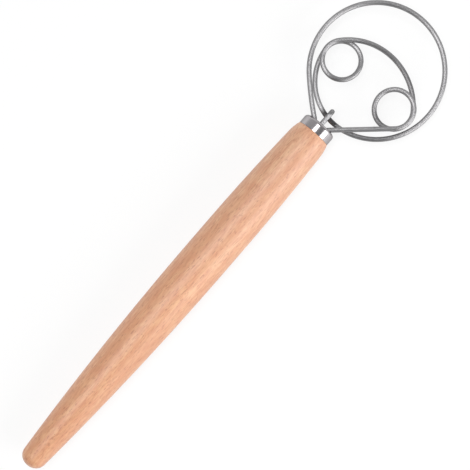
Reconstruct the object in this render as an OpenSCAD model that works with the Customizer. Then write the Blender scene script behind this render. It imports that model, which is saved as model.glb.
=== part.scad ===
// Dough whisk: a turned hardwood handle with a drawn steel ferrule, one wire bent into an outer ring
// and two inner coils, and a short hook that ties the ring to the handle.
// All lengths are in millimetres. +X runs along the handle towards the wire head, +Y to its left, and
// +Z is up, square to the plane of the head. The modules draw each piece from the ferrule's mouth,
// where x = 0, and in_frame() moves them so that the origin lies under the middle of the whole whisk.

/* [Handle] */
// Length of the wood from its tail to the shoulder behind the ferrule
handle_len = 248.5; // [200:0.5:300]
// Diameter of the belly, the thickest part
belly_d = 26.6; // [24:0.2:32]
// Distance from the tail to the start of the belly
belly_from = 157; // [90:1:170]
// Length of the belly that keeps its full diameter
belly_len = 17; // [1:1:20]
// Diameter at the tail, where the side starts to round over
tail_d = 15; // [11:0.2:20]
// Length of the rounded tail
tail_round = 6; // [3:0.5:9]
// Diameter of the flat spot on the end of the tail
tail_flat_d = 3.6; // [1:0.2:8]
// Diameter of the neck, where the side starts to round over towards the ferrule
neck_d = 23.4; // [21.6:0.2:23.8]
// Length of the round-over at the neck
neck_round = 7.5; // [3:0.5:12]

/* [Ferrule] */
// Outside diameter of the ferrule
ferrule_d = 20.4; // [19.6:0.1:21]
// Length of the ferrule
ferrule_len = 6.6; // [5:0.1:14]
// Thickness of the ferrule's sheet steel
ferrule_wall = 0.8; // [0.5:0.05:1]
// Outside radius of the bend between the ferrule's side and its lip
ferrule_corner = 2; // [1.1:0.1:2.4]
// Diameter of the mouth inside the turned-in lip
mouth_d = 15.2; // [14.8:0.1:16]
// Distance from the front of the lip back to the end of the wood
wood_recess = 1.5; // [1.1:0.1:2]
// Height of the wood's shoulder above the ferrule
shoulder_step = 0.2; // [0:0.05:0.5]
// Clearance all round between the wood and the ferrule
ferrule_fit = 0.05; // [0.02:0.01:0.15]

/* [Wire] */
// Diameter of the wire
wire_d = 2.9; // [2.4:0.1:3.1]
// Clearance between two passes of the wire where one lies over the other
pass_gap = 0.15; // [0.1:0.05:0.4]
// Distance of each leg from the handle's axis where it enters the wood
leg_offset = 4.2; // [3.8:0.1:4.8]
// Depth to which each leg is set into the wood
leg_depth = 28; // [15:1:45]
// Radius of the bends in the mouth, to the middle of the wire
leg_bend_r = 2.8; // [2.4:0.1:3.2]
// Radius of the gentle bow that leads the left leg into the ring
leg_bow_r = 200; // [60:10:300]
// Clearance all round between a wire and its bore
bore_fit = 0.05; // [0.02:0.01:0.15]
// Room left between the end of a wire and the point of its bore
bore_room = 0.5; // [0:0.1:2]
// Point angle of the drill that made the bores
drill_point = 118; // [90:1:140]

/* [Ring] */
// Diameter of the outer ring, to the middle of the wire
ring_d = 77.8; // [72:0.2:90]
// Distance from the front of the ferrule to the near side of the ring, to the middle of the wire
ring_ahead = 5.7; // [4.5:0.1:9]
// Distance of the ring's centre to the right of the handle's axis
ring_shift = 4.2; // [0:0.1:6]
// Place on the ring where the wire turns in to the left coil, counted clockwise from the far side
ring_end = 168; // [160:1:176]

/* [Coils] */
// Diameter of each coil, to the middle of the wire
coil_d = 22.4; // [19:0.1:24]
// Direction of the left coil from the ring's centre, counted from the far side
left_coil_angle = 113.8; // [108:0.1:118]
// Distance between the left coil and the ring, wire middle to wire middle
left_coil_gap = 6.6; // [5:0.1:8]
// Direction of the right coil from the ring's centre, counted from the far side
right_coil_angle = 115.3; // [110:0.1:118]
// Distance between the right coil and the ring, wire middle to wire middle
right_coil_gap = 3.8; // [3.5:0.1:8]
// How far the bridge between the coils rises beyond the line through their centres
bridge_rise = 21; // [18:0.1:26]

/* [Hook] */
// Depth to which the hook is set into the wood
hook_depth = 24; // [12:1:40]
// Distance that the hook runs past the ring's wire before it bends down
hook_reach = 1.1; // [0:0.1:2]
// Length of the hook's end that comes back under the ring's wire
hook_return = 2; // [0.5:0.1:4]

/* [Hidden] */
$fn = 64;
wood_colour = "#d3a787";
steel_colour = "#b9babd";

wire_r = wire_d / 2;
ring_r = ring_d / 2;
coil_r = coil_d / 2;
ferrule_r = ferrule_d / 2;
tenon_r = ferrule_r - ferrule_wall - ferrule_fit;
// The chamfer on the end of the tenon clears the bend inside the ferrule
tenon_chamfer = ferrule_corner - ferrule_wall;
shoulder_x = -ferrule_len;
tail_x = shoulder_x - handle_len;
// Height of the middle of a pass of wire that lies behind another one
low = -(wire_d + pass_gap);
// Steps in each long curve of the turned profile, and in each short one
long_steps = 20;
short_steps = 10;
// A sleeve closes the joint between two bends, this long and this much larger in radius than the wire
joint_len = 0.4;
joint_swell = 0.02;
// Largest turn of one step where the wire climbs from one height to the other
climb_step = 60;

whole_len = handle_len + ferrule_len + ring_ahead + ring_d + wire_r;
module in_frame() {
    translate([handle_len + ferrule_len - whole_len / 2, ring_shift, belly_d / 2]) children();
}

// Plane geometry
function polar(r, a) = r * [cos(a), sin(a)];
function bearing(v) = atan2(v[1], v[0]);
function unit(v) = v / norm(v);
function backwards(list) = [for (i = [len(list) - 1 : -1 : 0]) list[i]];

// The point that lies ra from a and rb from b, on the left of the way from a to b
function apex(a, ra, b, rb) =
    let (d = norm(b - a), u = (b - a) / d, along = (d * d + ra * ra - rb * rb) / (2 * d))
    a + along * u + sqrt(ra * ra - along * along) * [-u[1], u[0]];

// Points of the arc that leaves p with a heading and ends at q, without p itself
function arc_to(p, heading, q, steps) =
    let (turn = 2 * (bearing(q - p) - heading), r = norm(q - p) / (2 * sin(turn / 2)),
        c = p + r * [-sin(heading), cos(heading)])
    [for (i = [1 : steps]) c + polar(r, heading - 90 + turn * i / steps)];
function heading_at(p, heading, q) = 2 * bearing(q - p) - heading;

// Quarter circle about c from one bearing to another
function corner(c, r, from, to) =
    [for (i = [0 : short_steps]) c + polar(r, from + (to - from) * i / short_steps)];

// Side of the handle as [radius, x], made of arcs that run smoothly into each other
belly_back = [belly_d / 2, tail_x + belly_from];
belly_front = belly_back + [0, belly_len];
tail_side = [tail_d / 2, tail_x + tail_round];
tail_end = [tail_flat_d / 2, tail_x];
neck = [neck_d / 2, shoulder_x - neck_round];
shoulder = [ferrule_r + shoulder_step, shoulder_x];
rear_side = concat(
    [belly_back],
    arc_to(belly_back, -90, tail_side, long_steps),
    arc_to(tail_side, heading_at(belly_back, -90, tail_side), tail_end, short_steps));
front_side = concat(
    [belly_front],
    arc_to(belly_front, 90, neck, long_steps),
    arc_to(neck, heading_at(belly_front, 90, neck), shoulder, short_steps));
handle_side = concat(
    [[0, tail_x]],
    backwards(rear_side),
    front_side,
    [[tenon_r, shoulder_x], [tenon_r, -wood_recess - tenon_chamfer],
        [tenon_r - tenon_chamfer, -wood_recess], [0, -wood_recess]]);

// Section of the ferrule as [radius, x]: a tube whose front is turned in to a flat lip
lip_bend = [ferrule_r - ferrule_corner, -ferrule_corner];
ferrule_section = concat(
    [[ferrule_r, shoulder_x]],
    corner(lip_bend, ferrule_corner, 0, 90),
    [[mouth_d / 2, 0], [mouth_d / 2, -ferrule_wall]],
    corner(lip_bend, ferrule_corner - ferrule_wall, 90, 0),
    [[ferrule_r - ferrule_wall, shoulder_x]]);

// Plan of the wire head, as circles that touch each other.
// The mouth's bends turn the legs outwards where they leave the wood.
left_bend = [-wood_recess, leg_offset + leg_bend_r];
right_bend = [-wood_recess, -leg_offset - leg_bend_r];
ring_c = [ring_ahead + ring_r, -ring_shift];
left_coil = ring_c + polar(ring_r - coil_r - left_coil_gap, left_coil_angle);
right_coil = ring_c + polar(ring_r - coil_r - right_coil_gap, -right_coil_angle);
// The bow holds the ring inside it and touches the left bend from outside.
bow_c = apex(ring_c, leg_bow_r - ring_r, left_bend, leg_bow_r + leg_bend_r);
// The turn-in touches the ring from inside at ring_end and holds the left coil.
turn_way = polar(1, -ring_end);
turn_r = (pow(norm(ring_c + ring_r * turn_way - left_coil), 2) - coil_r * coil_r)
    / (2 * (ring_r - turn_way * (left_coil - ring_c) - coil_r));
turn_c = ring_c + (ring_r - turn_r) * turn_way;
// The bridge holds both coils.
half_span = norm(left_coil - right_coil) / 2;
bridge_r = (half_span * half_span + bridge_rise * bridge_rise - coil_r * coil_r)
    / (2 * (bridge_rise - coil_r));
bridge_c = apex(right_coil, bridge_r - coil_r, left_coil, bridge_r - coil_r);
// The right leg is the straight that leaves the right coil and crosses over to the right bend.
leg_way = right_bend - right_coil;

// Bearings at which the wire goes over from one circle to the next
bow_start = bearing(bow_c - left_bend);
ring_start = bearing(ring_c - bow_c);
coil_start = bearing(left_coil - turn_c);
bridge_start = bearing(left_coil - bridge_c);
bridge_end = bearing(right_coil - bridge_c);
leg_start = bearing(leg_way) + acos((coil_r + leg_bend_r) / norm(leg_way));

// Turn round a coil within which its wire still lies over the circle of radius r that touches it
function overlap_turn(r) = acos((pow(r - wire_d, 2) - pow(r - coil_r, 2) - coil_r * coil_r)
    / (2 * (r - coil_r) * coil_r));
// The same stretch as a turn round the circle of radius r
function overlap_on(r) =
    let (a = overlap_turn(r)) atan2(coil_r * sin(a), r - coil_r + coil_r * cos(a));
// The turn round the right coil within which its wire lies over the straight leg
leg_overlap = acos(1 - wire_d / coil_r);

// The ring falls from the height of the left leg to the lower height on its way round.
fall_start = 100;
fall_end = -145;
left_climb_start = bridge_start - overlap_turn(bridge_r);
left_climb_end = coil_start + overlap_turn(turn_r) - 360;
bridge_fall_start = bridge_start - overlap_on(bridge_r);
bridge_fall_end = bridge_end + overlap_on(bridge_r);
right_climb_start = leg_start - leg_overlap - 360;
right_climb_end = bridge_end + overlap_turn(bridge_r) - 360;

// Stretches of the wire in the order in which it is bent, from the left leg to the right one, each as
// [centre, radius, first bearing, last bearing, first height, last height]
route = [
    [left_bend, leg_bend_r, -90, bow_start, 0, 0],
    [bow_c, leg_bow_r, bow_start + 180, ring_start, 0, 0],
    [ring_c, ring_r, ring_start, fall_start, 0, 0],
    [ring_c, ring_r, fall_start, fall_end, 0, low],
    [ring_c, ring_r, fall_end, -ring_end, low, low],
    [turn_c, turn_r, -ring_end, coil_start - 360, low, low],
    [left_coil, coil_r, coil_start, left_climb_start, low, low],
    [left_coil, coil_r, left_climb_start, left_climb_end, low, 0],
    [left_coil, coil_r, left_climb_end, bridge_start - 360, 0, 0],
    [bridge_c, bridge_r, bridge_start, bridge_fall_start, 0, 0],
    [bridge_c, bridge_r, bridge_fall_start, bridge_fall_end, 0, low],
    [bridge_c, bridge_r, bridge_fall_end, bridge_end, low, low],
    [right_coil, coil_r, bridge_end, right_climb_start, low, low],
    [right_coil, coil_r, right_climb_start, right_climb_end, low, 0],
    [right_coil, coil_r, right_climb_end, leg_start - 720, 0, 0],
    [right_bend, leg_bend_r, leg_start - 180, 90, 0, 0]
];
function centre(s) = s[0];
function radius(s) = s[1];
function sweep(s) = s[3] - s[2];
function climb(s) = s[5] - s[4];
function bearing_on(s, share) = s[2] + share * sweep(s);

// The point at a share of a stretch, and the way that the wire runs there
function point_on(s, share) =
    let (p = centre(s) + polar(radius(s), bearing_on(s, share)))
    [p[0], p[1], s[4] + climb(s) * (1 - cos(180 * share)) / 2];
function way_on(s, share) =
    let (a = bearing_on(s, share), side = sign(sweep(s)),
        run = radius(s) * abs(sweep(s)) * PI / 180)
    unit([-side * sin(a), side * cos(a), climb(s) * sin(180 * share) * PI / 2 / run]);

// The knee of the two arcs that lead from p, left along t, to q, reached along v
function knee(p, t, q, v) =
    let (w = q - p, b = w * (t + v), k = 2 * (1 - t * v), d = (sqrt(b * b + k * w * w) - b) / k)
    (p + q + d * (t - v)) / 2;
// The way in which an arc that leaves p along t arrives at q
function arrival(p, t, q) = let (u = unit(q - p)) unit(2 * (u * t) * u - t);

// The ring's wire crosses the hook here, and the hook's bend leaves the same clearance over and under it.
hooked_x = turn_c[0] - sqrt(turn_r * turn_r - turn_c[1] * turn_c[1]);
hook_bend = [hooked_x + hook_reach, 0, low];
hook_r = -low;

module straight_wire(p, q, r = wire_r) {
    way = q - p;
    translate(p) rotate([0, acos(way[2] / norm(way)), bearing(way)]) cylinder(r = r, h = norm(way));
}

// Sleeve about p, along the way t of the wire
module joint(p, t) {
    straight_wire(p - joint_len / 2 * t, p + joint_len / 2 * t, wire_r + joint_swell);
}

// Wire bent level through a turn about the origin
module level_bend(r, turn) {
    rotate_extrude(angle = turn) translate([r, 0]) circle(r = wire_r);
}

// Wire bent along the arc in space that leaves p along t and ends at q
module bend_to(p, t, q) {
    up = unit(cross(t, q - p));
    in = cross(up, t);
    half_turn = acos(unit(q - p) * t);
    r = norm(q - p) / (2 * sin(half_turn));
    c = p + r * in;
    multmatrix([
        [-in[0], t[0], up[0], c[0]],
        [-in[1], t[1], up[1], c[1]],
        [-in[2], t[2], up[2], c[2]],
        [0, 0, 0, 1]])
        level_bend(r, 2 * half_turn);
    joint(q, arrival(p, t, q));
}

module level_stretch(s) {
    translate([centre(s)[0], centre(s)[1], s[4]])
        rotate(min(s[2], s[3]))
        level_bend(radius(s), abs(sweep(s)));
    joint(point_on(s, 1), way_on(s, 1));
}

module climbing_stretch(s) {
    steps = ceil(abs(sweep(s)) / climb_step);
    for (i = [0 : steps - 1]) {
        p = point_on(s, i / steps);
        t = way_on(s, i / steps);
        q = point_on(s, (i + 1) / steps);
        v = way_on(s, (i + 1) / steps);
        k = knee(p, t, q, v);
        bend_to(p, t, k);
        bend_to(k, arrival(p, t, k), q);
    }
}

// A leg's straight end in the wood, on the left for side = 1 and on the right for side = -1
module set_leg(side) {
    straight_wire([-wood_recess - leg_depth, side * leg_offset, 0], [-wood_recess, side * leg_offset, 0]);
}

// Blind bore along x, drilled from the end of the wood, with the cone of the drill's point
module wire_bore(y, depth) {
    r = wire_r + bore_fit;
    point_len = r / tan(drill_point / 2);
    bottom = -wood_recess - depth - bore_room;
    translate([bottom, y, 0]) rotate([0, 90, 0]) cylinder(r = r, h = depth + bore_room + 1);
    translate([bottom - point_len, y, 0]) rotate([0, 90, 0]) cylinder(r1 = 0, r2 = r, h = point_len);
}

module turned(section) {
    rotate([0, 90, 0]) rotate_extrude() polygon(section);
}

// Turned from one piece of hardwood, with a tenon for the ferrule and three blind bores for the wires
module wooden_handle() {
    color(wood_colour) in_frame() difference() {
        turned(handle_side);
        wire_bore(leg_offset, leg_depth);
        wire_bore(0, hook_depth);
        wire_bore(-leg_offset, leg_depth);
    }
}

// Drawn collar pressed over the tenon, which keeps the drilled end of the wood from splitting
module ferrule() {
    color(steel_colour) in_frame() turned(ferrule_section);
}

// The single wire of the head: left leg, ring, left coil, bridge, right coil and right leg
module whisk_wire() {
    last_coil = route[len(route) - 2];
    last_bend = route[len(route) - 1];
    color(steel_colour) in_frame() {
        set_leg(1);
        joint(point_on(route[0], 0), way_on(route[0], 0));
        for (s = route) {
            if (climb(s) == 0) level_stretch(s);
            else climbing_stretch(s);
        }
        straight_wire(point_on(last_coil, 1), point_on(last_bend, 0));
        joint(point_on(last_bend, 0), way_on(last_bend, 0));
        set_leg(-1);
    }
}

// Short wire that runs over the ring's near side and is bent down and back under it
module retaining_hook() {
    over = hook_bend + [0, 0, hook_r];
    under = hook_bend - [0, 0, hook_r];
    color(steel_colour) in_frame() {
        straight_wire([-wood_recess - hook_depth, 0, 0], over);
        joint(over, [1, 0, 0]);
        translate(hook_bend) rotate([90, 0, 0]) rotate(-90) level_bend(hook_r, 180);
        joint(under, [1, 0, 0]);
        straight_wire(under - [hook_return, 0, 0], under);
    }
}

wooden_handle();
ferrule();
whisk_wire();
retaining_hook();
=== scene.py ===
from math import acos, asin, atan2, ceil, cos, pi, radians, sin, sqrt, tan

import bmesh
import bpy
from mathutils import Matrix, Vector


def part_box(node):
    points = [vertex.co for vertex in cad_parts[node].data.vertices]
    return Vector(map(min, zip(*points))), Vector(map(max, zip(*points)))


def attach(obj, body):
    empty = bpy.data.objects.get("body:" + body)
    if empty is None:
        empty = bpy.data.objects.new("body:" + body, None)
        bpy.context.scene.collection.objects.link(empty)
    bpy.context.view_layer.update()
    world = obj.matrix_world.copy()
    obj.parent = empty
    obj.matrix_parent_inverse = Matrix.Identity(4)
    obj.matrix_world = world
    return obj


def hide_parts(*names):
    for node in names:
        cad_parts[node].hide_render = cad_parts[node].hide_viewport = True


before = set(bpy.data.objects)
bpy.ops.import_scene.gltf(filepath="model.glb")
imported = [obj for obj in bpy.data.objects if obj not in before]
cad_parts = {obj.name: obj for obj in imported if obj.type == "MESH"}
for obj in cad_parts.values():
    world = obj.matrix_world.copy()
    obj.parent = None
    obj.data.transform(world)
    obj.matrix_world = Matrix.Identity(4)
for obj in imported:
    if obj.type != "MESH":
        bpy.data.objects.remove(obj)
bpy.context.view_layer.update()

# Wooden handle: a billet of pale rubberwood, turned on a lathe to a long belly and a narrow tail, sanded,
# and given a thin satin lacquer. Its front end is drilled three times along the grain for the wires and
# carries the ferrule on a short tenon.
ferrule_low, ferrule_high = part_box("ferrule")
mouth = Vector((ferrule_high.x, (ferrule_low.y + ferrule_high.y) / 2, (ferrule_low.z + ferrule_high.z) / 2))


def placed(x, y, z):
    """The frame's point, in metres, for millimetres ahead of the mouth, left of the axis and above it."""
    return mouth + Vector((x, y, z)) / 1000


def linear(hex_colour):
    """An sRGB hex colour as the linear colour of a shader's socket."""
    parts = [int(hex_colour[i : i + 2], 16) / 255 for i in (1, 3, 5)]
    return [p / 12.92 if p <= 0.04045 else ((p + 0.055) / 1.055) ** 2.4 for p in parts] + [1]


def node(tree, kind, inputs, **settings):
    """Adds a node with its settings, and gives each input a value or a link from another node's output."""
    made = tree.nodes.new("ShaderNode" + kind)
    for name, value in settings.items():
        setattr(made, name, value)
    for name, value in inputs.items():
        if isinstance(value, bpy.types.NodeSocket):
            tree.links.new(value, made.inputs[name])
        else:
            made.inputs[name].default_value = value
    return made


def arc(start, heading, end, steps):
    """Points (radius, x) of the arc from start along heading to end, without start, and its last heading."""
    chord = Vector(end) - Vector(start)
    way = atan2(chord.y, chord.x)
    turn = 2 * (way - heading)
    bend = chord.length / (2 * sin(turn / 2))
    centre = Vector(start) + bend * Vector((-sin(heading), cos(heading)))
    bearings = [heading - pi / 2 + turn * i / steps for i in range(1, steps + 1)]
    return [tuple(centre + bend * Vector((cos(b), sin(b)))) for b in bearings], 2 * way - heading


def turned(name, outline, closed, around=128):
    """A smooth body turned about the handle's axis from an outline of (radius, x) points in millimetres."""
    form = bmesh.new()
    hoops = []
    for radius, x in outline:
        if radius == 0:
            hoops.append([form.verts.new(placed(x, 0, 0))] * around)
        else:
            bearings = [2 * pi * i / around for i in range(around)]
            hoops.append([form.verts.new(placed(x, radius * cos(b), radius * sin(b))) for b in bearings])
    pairs = list(zip(hoops, hoops[1:] + hoops[:1])) if closed else list(zip(hoops, hoops[1:]))
    for near, far in pairs:
        for i in range(around):
            corners = [near[i - 1], near[i], far[i], far[i - 1]]
            form.faces.new(list(dict.fromkeys(corners)))
    bmesh.ops.recalc_face_normals(form, faces=form.faces)
    for face in form.faces:
        face.smooth = True
    mesh = bpy.data.meshes.new(name)
    form.to_mesh(mesh)
    piece = bpy.data.objects.new(name, mesh)
    bpy.context.scene.collection.objects.link(piece)
    return piece


ferrule_length = 6.6
handle_length = 248.5
wood_recess = 1.5
tail_end = -ferrule_length - handle_length
tail_radius = 1.8
belly_radius = 13.3
shoulder_radius = 10.1
tenon_radius = 9.35
tenon_chamfer = 1.2
# Points of the outline as (radius, x), in millimetres.
belly_back = (belly_radius, tail_end + 157)
belly_front = (belly_radius, tail_end + 174)
tail_side = (7.5, tail_end + 6)
neck = (11.7, -ferrule_length - 7.5)
shoulder = (10.4, -ferrule_length - 0.3)
back, back_heading = arc(belly_back, -pi / 2, tail_side, 60)
tail, _ = arc(tail_side, back_heading, (tail_radius, tail_end), 24)
front, front_heading = arc(belly_front, pi / 2, neck, 40)
round_over, shoulder_heading = arc(neck, front_heading, shoulder, 20)
shoulder_edge, _ = arc(shoulder, shoulder_heading, (shoulder_radius, -ferrule_length), 6)
handle_outline = (
    [(0, tail_end)]
    + tail[::-1]
    + back[:-1][::-1]
    + [belly_back, belly_front]
    + front
    + round_over
    + shoulder_edge
    + [(tenon_radius, -ferrule_length), (tenon_radius, -wood_recess - tenon_chamfer)]
    + [(tenon_radius - tenon_chamfer, -wood_recess), (0, -wood_recess)]
)
handle = turned("turned_handle", handle_outline, closed=False)

bore_radius = 1.5
drill_point = 0.9
leg_offset = 4.2
leg_bore = 28.5
hook_bore = 24.5
drills = []
for y, bore_depth in ((leg_offset, leg_bore), (0, hook_bore), (-leg_offset, leg_bore)):
    bottom = -wood_recess - bore_depth
    drill_outline = [(0, bottom - drill_point), (bore_radius, bottom), (bore_radius, 1), (0, 1)]
    drill = turned("drill", drill_outline, closed=False, around=48)
    drill.location.y = y / 1000
    drills.append(drill)
for drill in drills:
    cut = handle.modifiers.new("bore", "BOOLEAN")
    cut.operation = "DIFFERENCE"
    cut.solver = "EXACT"
    cut.object = drill
drilled = bpy.data.meshes.new_from_object(handle.evaluated_get(bpy.context.evaluated_depsgraph_get()))
handle.modifiers.clear()
handle.data = drilled
for drill in drills:
    bpy.data.objects.remove(drill)
handle.data.set_sharp_from_angle(angle=radians(40))

# Satin-lacquered rubberwood: pinkish tan, mottled with yellower and pinker patches, with short faint streaks
# and the open pores as dark flecks along the grain. The lacquer gives a broad soft sheen.
wood = bpy.data.materials.new("Satin_lacquered_rubberwood")
wood.use_nodes = True
tree = wood.node_tree
shader = tree.nodes["Principled BSDF"]
place = node(tree, "TexCoord", {}).outputs["Object"]
# Each pattern's length and width in millimetres. Real pores are 0.2 mm wide and drawn at 0.6 mm. Each pattern
# then mixes its colour in: a colour mix has its two colours at the inputs 6 and 7.
grain = {}
for kind, length, width, detail in (
    ("figure", 45, 9, 2),
    ("mottle", 7, 2, 3),
    ("streaks", 9, 0.8, 3),
    ("pores", 3, 0.6, 1),
):
    cells = node(tree, "Mapping", {"Vector": place, "Scale": (1000 / length, 1000 / width, 1000 / width)})
    grain[kind] = node(
        tree, "TexNoise", {"Vector": cells.outputs[0], "Scale": 1, "Detail": detail, "Distortion": 0.5}
    ).outputs["Fac"]
figure = node(
    tree, "MapRange", {"Value": grain["figure"], "From Min": 0.35, "From Max": 0.65, "To Max": 0.55}
).outputs[0]
mottle = node(tree, "MapRange", {"Value": grain["mottle"], "From Min": 0.35, "From Max": 0.65}).outputs[0]
streaks = node(
    tree, "MapRange", {"Value": grain["streaks"], "From Min": 0.42, "From Max": 0.7, "To Max": 0.6}
).outputs[0]
pores = node(
    tree, "MapRange", {"Value": grain["pores"], "From Min": 0.58, "From Max": 0.7, "To Max": 0.6}
).outputs[0]
ground = node(
    tree, "Mix", {"Factor": mottle, 6: linear("#eab98f"), 7: linear("#dfa079")}, data_type="RGBA"
).outputs[2]
figured = node(tree, "Mix", {"Factor": figure, 6: ground, 7: linear("#d3936b")}, data_type="RGBA").outputs[2]
streaked = node(
    tree, "Mix", {"Factor": streaks, 6: figured, 7: linear("#c88662")}, data_type="RGBA"
).outputs[2]
pored = node(tree, "Mix", {"Factor": pores, 6: streaked, 7: linear("#b0694a")}, data_type="RGBA").outputs[2]
# The billet is a little redder in its back half than at the neck.
along = node(tree, "SeparateXYZ", {0: place}).outputs["X"]
redness = node(
    tree,
    "MapRange",
    {"Value": along, "From Min": mouth.x - 0.12, "From Max": mouth.x - 0.03, "To Min": 1, "To Max": 0},
).outputs[0]
toned = node(
    tree, "Mix", {"Factor": redness, 6: pored, 7: linear("#fff7ed")}, data_type="RGBA", blend_type="MULTIPLY"
).outputs[2]
sheen = node(tree, "MapRange", {"Value": grain["streaks"], "To Min": 0.48, "To Max": 0.6}).outputs[0]
sunk = node(tree, "Math", {0: pores, 1: -1}, operation="MULTIPLY").outputs[0]
dents = node(tree, "Bump", {"Height": sunk, "Strength": 0.3, "Distance": 0.0001})
tree.links.new(toned, shader.inputs["Base Color"])
tree.links.new(sheen, shader.inputs["Roughness"])
tree.links.new(dents.outputs[0], shader.inputs["Normal"])
shader.inputs["IOR"].default_value = 1.5
shader.inputs["Coat Weight"].default_value = 0.9
shader.inputs["Coat Roughness"].default_value = 0.5
shader.inputs["Coat IOR"].default_value = 1.85
handle.data.materials.clear()
handle.data.materials.append(wood)
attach(handle, "root")
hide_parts("wooden_handle")

# Ferrule: a collar drawn from thin stainless sheet, with its front turned in to a flat lip, pressed over the
# tenon so that the drilled end of the wood doesn't split. It is polished bright on the lathe.
ferrule_radius = 10.2
sheet = 0.8
corner_radius = 2
lip_radius = 7.6
edge = 0.25


def quarter(centre, radius, first, last, steps=10):
    """Points (radius, x) round a corner of the ferrule's section, between two bearings in degrees."""
    bearings = [radians(first + (last - first) * i / steps) for i in range(steps + 1)]
    return [(centre[0] + radius * cos(b), centre[1] + radius * sin(b)) for b in bearings]


corner = (ferrule_radius - corner_radius, -corner_radius)
ferrule_outline = (
    quarter((ferrule_radius - edge, -ferrule_length + edge), edge, -90, 0)
    + quarter(corner, corner_radius, 0, 90)
    + quarter((lip_radius + edge, -edge), edge, 90, 180)
    + quarter((lip_radius + edge, -sheet + edge), edge, 180, 270)
    + quarter(corner, corner_radius - sheet, 90, 0)
    + [(ferrule_radius - sheet, -ferrule_length)]
)
ferrule = turned("drawn_ferrule", ferrule_outline, closed=True)
ferrule.data.set_sharp_from_angle(angle=radians(50))

# Polished stainless steel: mirror-like with a slight haze, and the fine rings that the polishing left
# round it.
bright_steel = bpy.data.materials.new("Polished_stainless_sheet")
bright_steel.use_nodes = True
tree = bright_steel.node_tree
shader = tree.nodes["Principled BSDF"]
place = node(tree, "TexCoord", {}).outputs["Object"]
# Polishing rings about 0.05 mm apart, drawn at 0.3 mm so that they show.
along = node(tree, "Mapping", {"Vector": place, "Scale": (1000 / 0.3, 20, 20)}).outputs[0]
rings = node(tree, "TexNoise", {"Vector": along, "Scale": 1, "Detail": 2}).outputs["Fac"]
haze = node(tree, "MapRange", {"Value": rings, "To Min": 0.15, "To Max": 0.22}).outputs[0]
scratches = node(tree, "Bump", {"Height": rings, "Strength": 0.15, "Distance": 0.00002})
tree.links.new(haze, shader.inputs["Roughness"])
tree.links.new(scratches.outputs[0], shader.inputs["Normal"])
shader.inputs["Base Color"].default_value = linear("#bcb8ba")
shader.inputs["Specular Tint"].default_value = (0.5, 0.5, 0.5, 1)
shader.inputs["Metallic"].default_value = 1
ferrule.data.materials.append(bright_steel)
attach(ferrule, "root")
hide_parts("ferrule")

# Whisk wire: one length of hard stainless wire, 2.9 mm thick. From the left leg it goes once round the outer
# ring, turns in to the left coil, crosses by the bridge to the right coil, and comes back as the right leg.
# Where two passes meet, one lies over the other.
wire_radius = 1.45
low = -3.05
ring_radius = 38.9
coil_radius = 11.2
bow_radius = 200
leg_bend = 2.8
leg_depth = 28
# The wire starts to fall from the ring's front level, and has fallen, at these bearings from its middle.
fall_start = 100
fall_end = -145
ring_end = -168
bridge_rise = 21


def polar(radius, degrees):
    """The point at a distance and a bearing from the origin, in the plan of the wire head."""
    return Vector((radius * cos(radians(degrees)), radius * sin(radians(degrees))))


def bearing(way):
    """The bearing of a way in the plan, in degrees."""
    return atan2(way.y, way.x) * 180 / pi


def apex(first, first_reach, second, second_reach):
    """The point at those reaches from two others, on the left of the way from the first to the second."""
    way = second - first
    span = way.length
    along = (span**2 + first_reach**2 - second_reach**2) / (2 * span)
    across = sqrt(first_reach**2 - along**2)
    return first + along * way / span + across * Vector((-way.y, way.x)) / span


left_bend = Vector((-wood_recess, leg_offset + leg_bend))
right_bend = Vector((-wood_recess, -leg_offset - leg_bend))
ring = Vector((5.7 + ring_radius, -4.2))
left_coil = ring + polar(ring_radius - coil_radius - 6.6, 113.8)
right_coil = ring + polar(ring_radius - coil_radius - 3.8, -115.3)
bow = apex(ring, bow_radius - ring_radius, left_bend, bow_radius + leg_bend)
turn_way = polar(1, ring_end)
turn_radius = ((ring + ring_radius * turn_way - left_coil).length_squared - coil_radius**2) / (
    2 * (ring_radius - turn_way.dot(left_coil - ring) - coil_radius)
)
turn = ring + (ring_radius - turn_radius) * turn_way
half_span = (left_coil - right_coil).length / 2
bridge_radius = (half_span**2 + bridge_rise**2 - coil_radius**2) / (2 * (bridge_rise - coil_radius))
bridge = apex(right_coil, bridge_radius - coil_radius, left_coil, bridge_radius - coil_radius)
leg_way = right_bend - right_coil


def overlap(radius):
    """Degrees round a coil, from where it meets a circle of that radius, in which the two wires overlap."""
    reach = (radius - 2 * wire_radius) ** 2 - (radius - coil_radius) ** 2 - coil_radius**2
    return acos(reach / (2 * (radius - coil_radius) * coil_radius)) * 180 / pi


def overlap_on(radius):
    """The same stretch in degrees round the circle of that radius."""
    turned_by = overlap(radius)
    return bearing(Vector((radius - coil_radius, 0)) + polar(coil_radius, turned_by))


bow_start = bearing(bow - left_bend)
ring_start = bearing(ring - bow)
coil_start = bearing(left_coil - turn)
bridge_start = bearing(left_coil - bridge)
bridge_end = bearing(right_coil - bridge)
leg_start = bearing(leg_way) + acos((coil_radius + leg_bend) / leg_way.length) * 180 / pi
leg_overlap = acos(1 - 2 * wire_radius / coil_radius) * 180 / pi
first_climb = (bridge_start - overlap(bridge_radius), coil_start + overlap(turn_radius) - 360)
bridge_fall = (bridge_start - overlap_on(bridge_radius), bridge_end + overlap_on(bridge_radius))
last_climb = (leg_start - leg_overlap - 360, bridge_end + overlap(bridge_radius) - 360)
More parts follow.
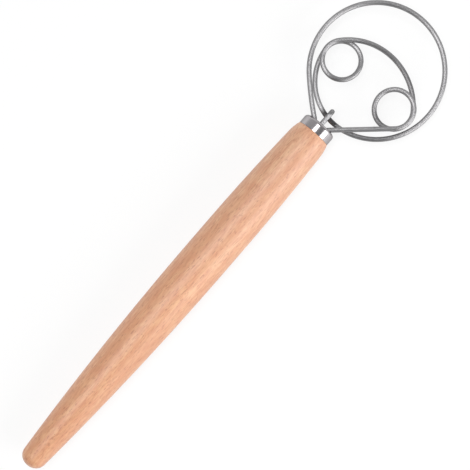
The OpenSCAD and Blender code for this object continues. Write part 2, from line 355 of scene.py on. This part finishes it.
# Each bend as centre, radius, first and last bearing, and first and last height.
bends = [
    (left_bend, leg_bend, -90, bow_start, 0, 0),
    (bow, bow_radius, bow_start + 180, ring_start, 0, 0),
    (ring, ring_radius, ring_start, fall_start, 0, 0),
    (ring, ring_radius, fall_start, fall_end, 0, low),
    (ring, ring_radius, fall_end, ring_end, low, low),
    (turn, turn_radius, ring_end, coil_start - 360, low, low),
    (left_coil, coil_radius, coil_start, first_climb[0], low, low),
    (left_coil, coil_radius, *first_climb, low, 0),
    (left_coil, coil_radius, first_climb[1], bridge_start - 360, 0, 0),
    (bridge, bridge_radius, bridge_start, bridge_fall[0], 0, 0),
    (bridge, bridge_radius, *bridge_fall, 0, low),
    (bridge, bridge_radius, bridge_fall[1], bridge_end, low, low),
    (right_coil, coil_radius, bridge_end, last_climb[0], low, low),
    (right_coil, coil_radius, *last_climb, low, 0),
    (right_coil, coil_radius, last_climb[1], leg_start - 720, 0, 0),
    (right_bend, leg_bend, leg_start - 180, 90, 0, 0),
]
station_spacing = 0.6
path = [Vector((-wood_recess - depth, leg_offset, 0)) for depth in (leg_depth, leg_depth / 2)]
for centre, radius, first, last, start_height, end_height in bends:
    if centre is right_bend:
        leg_from, leg_to = path[-1], Vector((*(centre + polar(radius, first)), 0))
        path += [leg_from.lerp(leg_to, i / 40) for i in range(1, 40)]
    steps = ceil(radians(abs(last - first)) * radius / station_spacing)
    for i in range(steps + 1):
        rise = (1 - cos(pi * i / steps)) / 2
        plan = centre + polar(radius, first + (last - first) * i / steps)
        point = Vector((*plan, start_height + (end_height - start_height) * rise))
        if (point - path[-1]).length > 0.05:
            path.append(point)
path += [Vector((-wood_recess - depth, -leg_offset, 0)) for depth in (leg_depth / 2, leg_depth)]


def drawn_wire(name, path, level, around=32, chamfer=0.25):
    """A round wire along a path in millimetres. Its UV map runs along it in metres and once round it."""
    form = bmesh.new()
    marks = form.loops.layers.uv.new("length_and_turn")
    ways = [(b - a).normalized() for a, b in zip(path, path[1:])]
    ways = [ways[0]] + [(a + b).normalized() for a, b in zip(ways, ways[1:])] + [ways[-1]]
    stations = []
    run = 0
    for i, (point, way) in enumerate(zip(path, ways)):
        run += (point - path[i - 1]).length if i else 0
        stations.append((point, way, wire_radius, run))
    for at, turn_back in ((0, 1), (-1, -1)):
        point, way, _, run = stations[at]
        inner = (point + turn_back * chamfer * way, way, wire_radius, run + turn_back * chamfer)
        tip = (point, way, wire_radius - chamfer, run)
        stations[at] = inner
        stations.insert(0 if at == 0 else len(stations), tip)
    hoops = []
    for point, way, radius, _ in stations:
        up = (level - level.dot(way) * way).normalized()
        side = way.cross(up)
        spokes = [cos(2 * pi * i / around) * up + sin(2 * pi * i / around) * side for i in range(around)]
        hoops.append([form.verts.new(placed(*(point + radius * spoke))) for spoke in spokes])
    for near, far, (_, _, _, start), (_, _, _, end) in zip(hoops, hoops[1:], stations, stations[1:]):
        for i in range(around):
            face = form.faces.new([near[i - 1], near[i], far[i], far[i - 1]])
            face.smooth = True
            here, there = (i - 1) % around / around, ((i - 1) % around + 1) / around
            for loop, spot in zip(face.loops, ((start, here), (start, there), (end, there), (end, here))):
                loop[marks].uv = (spot[0] / 1000, spot[1])
    for hoop in (hoops[0], hoops[-1]):
        form.faces.new(hoop)
    bmesh.ops.recalc_face_normals(form, faces=form.faces)
    mesh = bpy.data.meshes.new(name)
    form.to_mesh(mesh)
    mesh.set_sharp_from_angle(angle=radians(35))
    piece = bpy.data.objects.new(name, mesh)
    bpy.context.scene.collection.objects.link(piece)
    return piece


wire = drawn_wire("whisk_wire_bent", path, Vector((0, 0, 1)))
crossing = Vector((turn.x - sqrt(turn_radius**2 - turn.y**2), 0, low))
nearest = min(range(len(path)), key=lambda i: (path[i] - crossing).length)
crossing_run = sum((b - a).length for a, b in zip(path[:nearest], path[1:]))

# Cold-drawn stainless wire: a dull shine, with the die's fine lines along it and slightly duller patches
# where it has been handled and bent. The lines spread each reflection round the wire, and hardly along it.
drawn_steel = bpy.data.materials.new("Cold_drawn_stainless_wire")
drawn_steel.use_nodes = True
tree = drawn_steel.node_tree
shader = tree.nodes["Principled BSDF"]
marks = node(tree, "TexCoord", {}).outputs["UV"]
# Die lines a few hundredths of a millimetre wide, drawn 24 to the turn, each about 20 mm long.
lines_at = node(tree, "Mapping", {"Vector": marks, "Scale": (1000 / 20, 24, 1)}).outputs[0]
lines = node(tree, "TexNoise", {"Vector": lines_at, "Scale": 1, "Detail": 3}).outputs["Fac"]
place = node(tree, "TexCoord", {}).outputs["Object"]
# Dull patches about 8 mm across.
patches = node(tree, "TexNoise", {"Vector": place, "Scale": 1000 / 8, "Detail": 1}).outputs["Fac"]
dullness = node(tree, "MapRange", {"Value": patches, "To Min": 0.4, "To Max": 0.46}).outputs[0]
tone = node(
    tree, "Mix", {"Factor": lines, 6: linear("#9d9c9e"), 7: linear("#abaaab")}, data_type="RGBA"
).outputs[2]
# Painted shade: the top of the wire is painted dark for a few millimetres on each side of the hook, and more
# faintly on the ring's near side, at the bridge's end and on the right coil's far side. Each shaded stretch's
# middle in millimetres along the wire from the hook, its full and its faded half length, and its depth.
along_and_round = node(tree, "SeparateXYZ", {0: marks}).outputs
shaded_stretches = 0
for past_hook, full, faded, depth in (
    (-1.5, 4.5, 8, 1),
    (-26, 10, 24, 0.3),
    (173, 4, 14, 0.5),
    (216, 2, 9, 0.5),
    (228, 6, 14, 0.25),
):
    middle = (crossing_run + past_hook) / 1000
    away = node(tree, "Math", {0: along_and_round["X"], 1: middle}, operation="SUBTRACT").outputs[0]
    away = node(tree, "Math", {0: away}, operation="ABSOLUTE").outputs[0]
    shade_depth_here = node(
        tree,
        "MapRange",
        {"Value": away, "From Min": full / 1000, "From Max": faded / 1000, "To Min": depth, "To Max": 0},
    ).outputs[0]
    shaded_stretches = node(tree, "Math", {0: shade_depth_here, 1: shaded_stretches}, operation="MAXIMUM").outputs[0]
angle = node(tree, "Math", {0: along_and_round["Y"], 1: 2 * pi}, operation="MULTIPLY").outputs[0]
facing = node(tree, "Math", {0: angle}, operation="COSINE").outputs[0]
upward = node(
    tree, "MapRange", {"Value": facing, "From Min": 0.2, "From Max": 0.95, "To Max": 0.9}
).outputs[0]
# Painted shade: the darkening lies only on the top of the wire, where it faces up.
painted_shade = node(tree, "Math", {0: shaded_stretches, 1: upward}, operation="MULTIPLY").outputs[0]
# The painted shade darkens the wire's tone towards near black.
tone = node(tree, "Mix", {"Factor": painted_shade, 6: tone, 7: linear("#201e1f")}, data_type="RGBA").outputs[2]
grooves = node(tree, "Bump", {"Height": lines, "Strength": 0.02, "Distance": 0.00002})
tree.links.new(tone, shader.inputs["Base Color"])
tree.links.new(dullness, shader.inputs["Roughness"])
tree.links.new(grooves.outputs[0], shader.inputs["Normal"])
lengthwise = node(tree, "Tangent", {}, direction_type="UV_MAP", uv_map="length_and_turn")
tree.links.new(lengthwise.outputs[0], shader.inputs["Tangent"])
shader.inputs["Anisotropic"].default_value = 0.8
shader.inputs["Anisotropic Rotation"].default_value = 0.25
shader.inputs["Specular Tint"].default_value = (0.5, 0.5, 0.5, 1)
shader.inputs["Metallic"].default_value = 1
wire.data.materials.append(drawn_steel)
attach(wire, "root")
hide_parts("whisk_wire")

# Retaining hook: a short end of the same wire, set into the wood between the two legs. It runs over the near
# side of the ring and is bent down and back under it, which ties the ring to the handle.
hook_depth = 24
hook_reach = 1.1
hook_return = 2
hook_bend = crossing.x + hook_reach
hook_path = [Vector((-wood_recess - depth, 0, 0)) for depth in (hook_depth, hook_depth / 2)]
hook_path += [Vector((-wood_recess + (hook_bend + wood_recess) * i / 12, 0, 0)) for i in range(12)]
for i in range(25):
    wrap = pi * i / 24
    hook_path.append(Vector((hook_bend - low * sin(wrap), 0, low - low * cos(wrap))))
hook_path += [Vector((hook_bend - reach, 0, 2 * low)) for reach in (hook_return / 2, hook_return)]
hook = drawn_wire("retaining_hook_bent", hook_path, Vector((0, 1, 0)))
hook.data.materials.append(drawn_steel)
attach(hook, "root")
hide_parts("retaining_hook")

# Table: a wide sheet of matt white paper under the whisk. It shows as white to the camera with a faint soft
# shadow, and as white in the steel, where more of its shadow shows.
table_form = bmesh.new()
bmesh.ops.create_grid(table_form, x_segments=1, y_segments=1, size=5)
table_mesh = bpy.data.meshes.new("table")
table_form.to_mesh(table_mesh)
table = bpy.data.objects.new("table", table_mesh)
bpy.context.scene.collection.objects.link(table)
paper = bpy.data.materials.new("Matt_white_paper")
paper.use_nodes = True
tree = paper.node_tree
tree.nodes.remove(tree.nodes["Principled BSDF"])
rays = node(tree, "LightPath", {}).outputs
seen = node(tree, "Math", {0: rays["Is Camera Ray"], 1: 0.8}, operation="MULTIPLY").outputs[0]
mirrored = node(
    tree, "Math", {0: rays["Is Glossy Ray"], 1: rays["Is Transmission Ray"]}, operation="MAXIMUM"
).outputs[0]
share = node(tree, "Math", {0: mirrored, 1: 0.4, 2: seen}, operation="MULTIPLY_ADD").outputs[0]
matt = node(tree, "BsdfDiffuse", {"Color": (0.9, 0.9, 0.9, 1)}).outputs[0]
white = node(tree, "Emission", {"Color": (1, 1, 1, 1), "Strength": 1.03}).outputs[0]
mixed = node(tree, "MixShader", {0: share, 1: matt, 2: white}).outputs[0]
tree.links.new(mixed, tree.nodes["Material Output"].inputs["Surface"])
table.data.materials.append(paper)

# Light: a soft strip overhead, a wider panel low on the right-hand side of the handle, and a room that is
# pale at the horizon, most of all on the right, and grey above, brighter beyond the head than behind the
# handle.
view_turn = -radians(49.187)
beyond = Vector((-sin(view_turn), cos(view_turn), 0))
world = bpy.data.worlds.new("pale_room")
bpy.context.scene.world = world
world.use_nodes = True
tree = world.node_tree
direction = node(tree, "TexCoord", {}).outputs["Generated"]
sides = node(tree, "SeparateXYZ", {0: direction}).outputs
ahead = node(tree, "VectorMath", {0: direction, 1: beyond}, operation="DOT_PRODUCT").outputs["Value"]
above = node(
    tree, "MapRange", {"Value": ahead, "From Min": -1, "From Max": 1, "To Min": 0.01, "To Max": 0.62}
).outputs[0]
pale = node(
    tree, "MapRange", {"Value": sides["Y"], "From Min": -1, "From Max": 1, "To Min": 1.3, "To Max": 0.2}
).outputs[0]
low_down = node(
    tree, "MapRange", {"Value": sides["Z"], "From Min": 0.05, "From Max": 0.3, "To Min": pale, "To Max": 0}
).outputs[0]
strength = node(tree, "Math", {0: above, 1: low_down}, operation="ADD").outputs[0]
tree.links.new(strength, tree.nodes["Background"].inputs["Strength"])
tree.nodes["Background"].inputs["Color"].default_value = (1, 1, 1, 1)
# Each panel's distance in metres, its bearing forward and leftward of the zenith in degrees, its length
# along the handle and its width in metres, and its power in watts.
for name, away, forward, leftward, length, width, power in (
    ("overhead_panel", 1.5, -5, 9, 1.3, 0.48, 11),
    ("side_panel", 1.3, 17, -58, 1.15, 0.64, 10.5),
):
    lamp = bpy.data.objects.new(name, bpy.data.lights.new(name, "AREA"))
    lamp.data.shape = "RECTANGLE"
    lamp.data.size = length
    lamp.data.size_y = width
    lamp.data.energy = power
    aim = Vector((tan(radians(forward)), tan(radians(leftward)), 1)).normalized()
    lamp.location = away * aim
    lamp.rotation_euler = (-asin(aim.y), atan2(aim.x, aim.z), 0)
    bpy.context.scene.collection.objects.link(lamp)

# Camera: straight above the whisk, turned so that the handle climbs to the right. The view is 470 pixels
# wide, at 1756 pixels to the metre of the whisk.
camera = bpy.data.objects.new("camera", bpy.data.cameras.new("camera"))
camera_height = 0.62
view_width = 470 / 1756
camera.location = placed(-79.2, -4, 1000 * camera_height)
camera.rotation_euler.z = view_turn
camera.data.lens = camera.data.sensor_width * camera_height / view_width
bpy.context.scene.collection.objects.link(camera)
bpy.context.scene.camera = camera
bpy.context.scene.view_settings.view_transform = "Standard"
